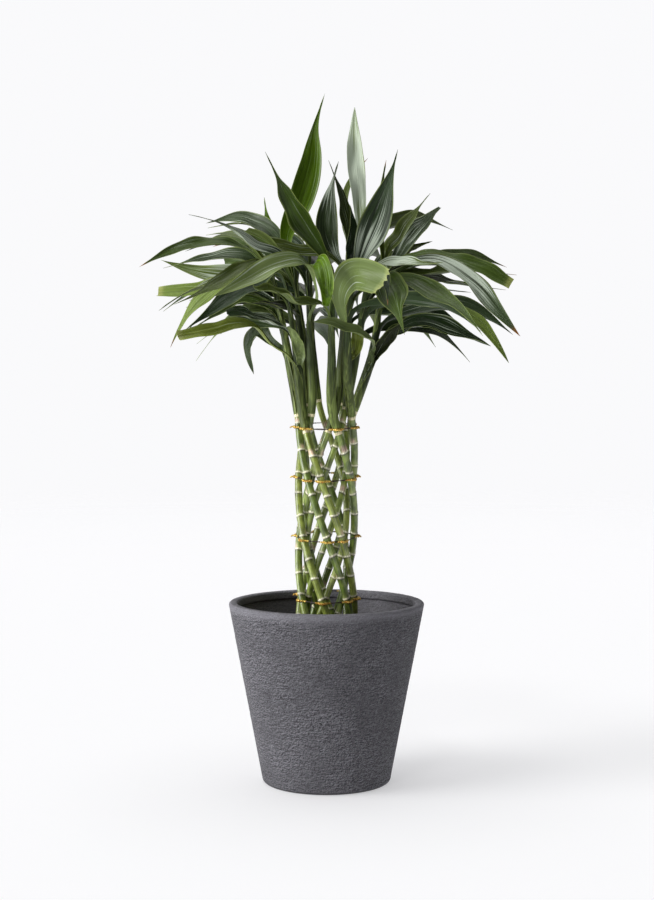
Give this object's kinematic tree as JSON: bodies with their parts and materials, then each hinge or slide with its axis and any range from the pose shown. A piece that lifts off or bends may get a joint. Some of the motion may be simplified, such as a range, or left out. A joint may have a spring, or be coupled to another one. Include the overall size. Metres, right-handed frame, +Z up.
{
  "type": "potted dracaena",
  "caption": "Dracaena canes woven into an open lattice tower by wire ties, with leafy tops, in a round tapered pot of soil.",
  "frame": {"origin": "middle of the pot's flat underside, where it stands", "axes": "+Z up along the pot's axis, -Y towards the viewer of the picture, +X to the viewer's right"},
  "size_m": [0.5109, 0.4236, 0.936],
  "materials": {
    "pot": "matt charcoal grey with a fine combed, stone-like texture; a moulded fibre and resin body",
    "soil": null,
    "cane": "semi-gloss green living cane with pale rings",
    "leaf": null,
    "tie": "thin gold-coated twist wire"
  },
  "bodies": {
    "root": {"pot": "pot", "soil": "soil", "cane_01": "cane", "cane_02": "cane", "cane_03": "cane", "cane_04": "cane", "cane_05": "cane", "cane_06": "cane", "cane_07": "cane", "cane_08": "cane", "cane_09": "cane", "cane_10": "cane", "cane_11": "cane", "cane_12": "cane", "cane_13": "cane", "shoot_01": "leaf", "shoot_02": "leaf", "shoot_03": "leaf", "shoot_04": "leaf", "shoot_05": "leaf", "shoot_06": "leaf", "shoot_07": "leaf", "shoot_08": "leaf", "shoot_09": "leaf", "shoot_10": "leaf", "shoot_11": "leaf", "shoot_12": "leaf", "shoot_13": "leaf", "tie_1": "tie", "tie_2": "tie", "tie_3": "tie", "tie_4": "tie"}
  },
  "joints": []
}
